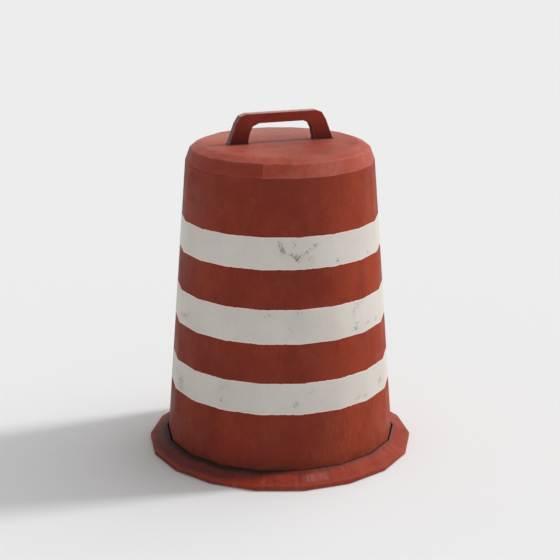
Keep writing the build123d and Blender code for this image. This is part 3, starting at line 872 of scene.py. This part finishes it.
def foot_moulding():
    """The foot ring: sloping top, groove for the wall, spigot, pan and hollow underside."""
    rim, low, edge = foot_high.y, foot_low.z, 0.0012
    groove = wall_flat(CREASE) + GROOVE_ROOM
    lip = groove + LIP
    slope = (CREASE - FOOT_EDGE) / (rim - lip)
    spigot, top = WALL + SPIGOT_GAP, foot_high.z
    cavity_rim = rim - FOOT_WALL
    groove_wall = groove + FOOT_WALL
    roof = CREASE - FOOT_WALL * hypot(1, slope) - slope * (groove_wall - lip)
    eaves = roof - slope * (cavity_rim - groove_wall)
    corners = [
        (rim, low, 0.0015),
        (rim, FOOT_EDGE, 0.003),
        (lip, CREASE, 0.0008),
        (groove, CREASE, 0.0008),
        (groove, GROOVE_FLOOR, 0.001),
        (wall_flat(GROOVE_FLOOR) - spigot, GROOVE_FLOOR, 0.001),
        (wall_flat(top) - spigot, top, 0.0015),
        (wall_flat(top) - spigot - FOOT_WALL, top, 0.0015),
        (wall_flat(PAN) - spigot - FOOT_WALL, PAN, 0.002),
        (OPENING, PAN, 0.002),
        (OPENING, low, edge),
        (OPENING + FOOT_WALL, low, edge),
        (OPENING + FOOT_WALL, PAN - FOOT_WALL, edge),
        (CAVITY, PAN - FOOT_WALL, edge),
        (CAVITY, GROOVE_FLOOR - FOOT_WALL, edge),
        (groove_wall, GROOVE_FLOOR - FOOT_WALL, edge),
        (groove_wall, roof, edge),
        (cavity_rim, eaves, edge),
        (cavity_rim, low, edge),
    ]
    profile = rounded_profile(corners, step=0.012)
    return lathe("foot_moulding", profile, FOOT_CORNER, along=10, shift=worn_rim)


def grip():
    """The carrying handle, a flat arch with rounded edges."""
    foot, thickness = handle_low.z, handle_high.y - handle_low.y
    outlines = []
    for half in (HANDLE_OUTER, HANDLE_INNER):
        right = [(across, foot + up, HANDLE_BEND) for across, up in half]
        outlines.append(right + [(-across, height, bend) for across, height, bend in reversed(right)])
    return arch("grip", *outlines, thickness, HANDLE_EDGE)


# Scuffs on each band: direction round the drum in degrees (270 is the front), height from the band's
# middle, half length, half width, tilt in degrees, strength.
SCUFFS = {
    "band_upper": [
        (250, 0.021, 0.019, 0.0035, -66, 1.0),
        (251, 0.008, 0.006, 0.005, -66, 0.9),
        (257, -0.006, 0.018, 0.004, -17, 1.0),
        (259, -0.015, 0.006, 0.006, 0, 0.9),
        (264, 0.002, 0.017, 0.0035, 26, 0.9),
        (270, 0.020, 0.013, 0.0035, 35, 0.8),
        (267, -0.017, 0.012, 0.006, -19, 0.7),
        (258, 0.026, 0.007, 0.005, -33, 0.5),
        (283, -0.031, 0.005, 0.004, 0, 0.9),
        (309, -0.034, 0.004, 0.004, 0, 0.9),
        (60, 0.010, 0.030, 0.006, 25, 0.8),
        (150, -0.015, 0.040, 0.005, -15, 0.8),
    ],
    "band_middle": [
        (294, -0.032, 0.008, 0.004, -16, 1.2),
        (295, -0.016, 0.005, 0.004, 59, 0.8),
        (293, 0.012, 0.011, 0.004, 78, 0.8),
        (296, 0.036, 0.015, 0.004, 37, 0.7),
        (305, -0.027, 0.012, 0.0035, 0, 0.8),
        (314, -0.029, 0.005, 0.004, 0, 1.0),
        (244, 0.033, 0.010, 0.004, -11, 0.65),
        (259, 0.042, 0.005, 0.004, 0, 0.65),
        (256, 0.010, 0.026, 0.014, -41, 0.38),
        (90, 0.000, 0.040, 0.006, -35, 0.9),
        (185, -0.020, 0.030, 0.007, 15, 0.7),
    ],
    "band_lower": [
        (179, 0.014, 0.012, 0.007, -68, 0.75),
        (185, -0.009, 0.015, 0.009, -5, 0.85),
        (185, -0.035, 0.021, 0.007, 6, 0.8),
        (219, -0.018, 0.005, 0.004, 0, 0.9),
        (219, 0.024, 0.024, 0.009, 24, 0.45),
        (315, -0.012, 0.011, 0.005, 73, 1.1),
        (293, -0.032, 0.011, 0.0035, 35, 0.95),
        (299, -0.031, 0.008, 0.004, 11, 0.65),
        (258, -0.011, 0.005, 0.004, -39, 0.75),
        (257, -0.022, 0.014, 0.005, 5, 0.55),
        (266, 0.019, 0.009, 0.006, -23, 0.5),
        (30, -0.010, 0.040, 0.007, 15, 0.8),
        (120, 0.010, 0.030, 0.006, -25, 0.8),
    ],
}


def scuff_at(marks, spot, up):
    """How scuffed a point of a band is, from its place and its height over the band's middle."""
    total = 0.0
    for direction, level, length, width, tilt, strength in marks:
        away = (atan2(spot.y, spot.x) - radians(direction) + pi) % (2 * pi) - pi
        across, rise = away * spot.length, up - level
        along = across * cos(radians(tilt)) + rise * sin(radians(tilt))
        aside = rise * cos(radians(tilt)) - across * sin(radians(tilt))
        total += strength * exp(-((along / length / 1.3) ** 2) - (aside / width / 2) ** 2)
    return min(total, 1.25)


def strip_stations(along, bends):
    """Places along a band: (side, place on its flat from -1 to 1, turn on its corner, layer)."""
    stations = []
    for side in range(BACK_SIDE, BACK_SIDE + SIDES + 1):
        first, last = side == BACK_SIDE, side == BACK_SIDE + SIDES
        for number in range(along):
            share = 2 * number / along - 1
            if (first and share < -BAND_LAP) or (last and share > BAND_LAP):
                continue
            layer = smooth(share, -0.8, -BAND_LAP - 0.05) if last else 0.0
            stations.append((side, share, 0.0, layer))
        if not last:
            stations += [(side, 1.0, number / bends, 0.0) for number in range(bends)]
    return stations


def band_spot(station, height, stand):
    """A place over the rounded wall, from its station, its height and how far it stands off."""
    side, share, turn, _ = station
    facing = (side + 0.5) * SIDE_TURN
    turned = facing + turn * SIDE_TURN
    out, across = Vector((cos(facing), sin(facing))), Vector((-sin(facing), cos(facing)))
    flat = wall_flat(height)
    reach = (flat - DRUM_CORNER) * tan(SIDE_TURN / 2)
    centre = out * (flat - DRUM_CORNER) + across * reach * share
    return centre + Vector((cos(turned), sin(turned))) * (DRUM_CORNER + stand)


def nicked(station, low, high):
    """A band's two edges at a station, drawn in where they are nicked."""
    seed = band_spot(station, (low + high) / 2, 0) * NICKS_A_METRE
    nick = [noise.noise(Vector((seed.x, seed.y, end * 9.0 + low * 50))) for end in (1, 2)]
    return low + NICK * smooth(nick[0], 0.1, 0.45), high - NICK * smooth(nick[1], 0.1, 0.45)


def band_section(bottom, top, stand, rows):
    """A cut across a band: (height, stand-off, outward and upward part of the normal, how far into the
    painted edge highlight).
    """
    taper = Vector((1.0, (WALL_FOOT[0] - WALL_TOP[0]) / (WALL_TOP[1] - WALL_FOOT[1]))).normalized()
    section = []
    for number in range(rows + 1):
        height = bottom + SHEET_BEVEL + (top - bottom - 2 * SHEET_BEVEL) * number / rows
        near = max(smooth(height, top - EDGE_HIGHLIGHT, top), smooth(height, bottom + EDGE_HIGHLIGHT, bottom))
        section.append((height, stand + SHEET, taper, near))
    eased_off = stand + SHEET - SHEET_BEVEL
    section += [(top, eased_off, (0, 1), 1.0), (top, stand, (0, 1), 1.0)]
    return section + [(bottom, stand, (0, -1), 1.0), (bottom, eased_off, (0, -1), 1.0)]


def sheeting(node, along=44, bends=6, rows=44):
    """A band: one strip round the wall, its ends lapped on the back flat, its edges nicked."""
    low, high = [end.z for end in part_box(node)]
    middle = (low + high) / 2
    vertices, normals, faces, scuff, edge = [], [], [], [], []
    for station in strip_stations(along, bends):
        side, _, turn, layer = station
        facing = shade_direction(band_spot(station, middle, 0), (side + 0.5 + turn) * SIDE_TURN)
        stand = SHEET_GAP + layer * (SHEET + SHEET_GAP)
        section = band_section(*nicked(station, low, high), stand, rows)
        for height, lift, (outward, upward), near in section:
            spot = band_spot(station, height, lift)
            vertices.append((spot.x, spot.y, height))
            normals.append((facing.x * outward, facing.y * outward, upward))
            scuff.append(scuff_at(SCUFFS[node], spot, height - middle))
            edge.append(near)
    loop = len(section)
    for start in range(0, len(vertices) - loop, loop):
        for number in range(loop):
            after = (number + 1) % loop
            faces.append((start + number, start + loop + number, start + loop + after, start + after))
    last = len(vertices) - loop
    faces.append(tuple(range(loop)))
    faces.append(tuple(reversed(range(last, last + loop))))
    return make_mesh(f"{node}_sheeting", vertices, faces, normals, scuff=scuff, edge=edge)


def build():
    """Makes every piece and gives the CAD nodes that still show their materials."""
    mount(drum_wall(), drum_plastic(), "drum_plastic", "drum", "drum_shell")
    mount(cap_moulding(), cap_plastic(), "cap_plastic", "drum", "top_cap")
    mount(grip(), handle_plastic(), "handle_plastic", "drum", "handle")
    mount(foot_moulding(), base_plastic(), "base_plastic", "base", "base_flange")
    sheet = reflective_sheeting()
    for node in SCUFFS:
        mount(sheeting(node), sheet, "reflective_sheeting", "drum", node)
    looks = {
        "ballast_rubber": crumb_rubber("ballast_rubber", 260),
        "gasket_rubber": crumb_rubber("gasket_rubber", 900),
        "zinc_steel": zinc_steel(),
        "insert_brass": insert_brass(),
    }
    for part in frame["record"]["subparts"]:
        if part["material_slot"] in looks:
            node = frame["nodes"][part["node"]]
            node.data.materials.clear()
            node.data.materials.append(looks[part["material_slot"]])


# ------------------------------ floor, light and camera
FLOOR_SIZE = 120
SKY_TOP, SKY_LOW, SKY_RISE = 0.33, 1.50, 0.6  # brightness overhead, at the horizon, and where it ends
SUN_POWER, SUN_SOFTNESS, SUN_TURN, SUN_HEIGHT = 1.86, radians(9), radians(-3), radians(38)
FILL_POWER, FILL_SOFTNESS, FILL_TURN, FILL_HEIGHT = 1.05, radians(60), radians(10), radians(55)
CAMERA_DISTANCE, CAMERA_HEIGHT, CAMERA_TURN = 4.145, 1.758, radians(-20.33)
CAMERA_PITCH, CAMERA_LENS = radians(16.585), 89.76


def floor():
    """A plain pale floor."""
    half = FLOOR_SIZE / 2
    spots = [(-half, -half, 0), (half, -half, 0), (half, half, 0), (-half, half, 0)]
    mesh = bpy.data.meshes.new("floor")
    mesh.from_pydata(spots, [], [(0, 1, 2, 3)])
    ground = bpy.data.objects.new("floor", mesh)
    bpy.context.scene.collection.objects.link(ground)
    shader = Shader("floor", 1.0, 0.0)
    shader.colour = shader.mix(shader.noise(0.4, 2), (0.77, 0.77, 0.77), (0.775, 0.775, 0.775))
    mesh.materials.append(shader.finish())


def sun(name, power, softness, turn, height):
    """A soft sun from a direction: its turn from +X towards +Y, and its height."""
    light = bpy.data.lights.new(name, "SUN")
    light.energy, light.angle = power, softness
    lamp = bpy.data.objects.new(name, light)
    towards = Vector((cos(turn) * cos(height), sin(turn) * cos(height), sin(height)))
    lamp.rotation_euler = towards.to_track_quat("Z", "Y").to_euler()
    bpy.context.scene.collection.objects.link(lamp)


def lights():
    """A pale sky that brightens to the horizon, a sun from the right and a broad fill above it."""
    world = bpy.data.worlds.new("studio")
    world.use_nodes = True
    nodes, links = world.node_tree.nodes, world.node_tree.links
    direction = nodes.new("ShaderNodeTexCoord").outputs["Generated"]
    split = nodes.new("ShaderNodeSeparateXYZ")
    links.new(direction, split.inputs[0])
    ramp = nodes.new("ShaderNodeMapRange")
    ramp.interpolation_type = "SMOOTHSTEP"
    for name, value in (("From Min", SKY_RISE), ("From Max", 0), ("To Min", SKY_TOP), ("To Max", SKY_LOW)):
        ramp.inputs[name].default_value = value
    links.new(split.outputs["Z"], ramp.inputs["Value"])
    links.new(ramp.outputs[0], nodes["Background"].inputs["Color"])
    bpy.context.scene.world = world
    sun("sun", SUN_POWER, SUN_SOFTNESS, SUN_TURN, SUN_HEIGHT)
    sun("fill", FILL_POWER, FILL_SOFTNESS, FILL_TURN, FILL_HEIGHT)


def camera():
    """The camera, level with its horizon and looking down at the drum."""
    lens = bpy.data.cameras.new("camera")
    lens.lens, lens.sensor_width = CAMERA_LENS, 36
    eye = bpy.data.objects.new("camera", lens)
    eye.location = (CAMERA_DISTANCE * sin(CAMERA_TURN), -CAMERA_DISTANCE * cos(CAMERA_TURN), CAMERA_HEIGHT)
    eye.rotation_euler = (pi / 2 - CAMERA_PITCH, 0, CAMERA_TURN)
    bpy.context.scene.collection.objects.link(eye)
    bpy.context.scene.camera = eye


camera()
lights()
floor()
build()
bpy.context.scene.view_settings.view_transform = "Standard"

bpy.context.view_layer.update()
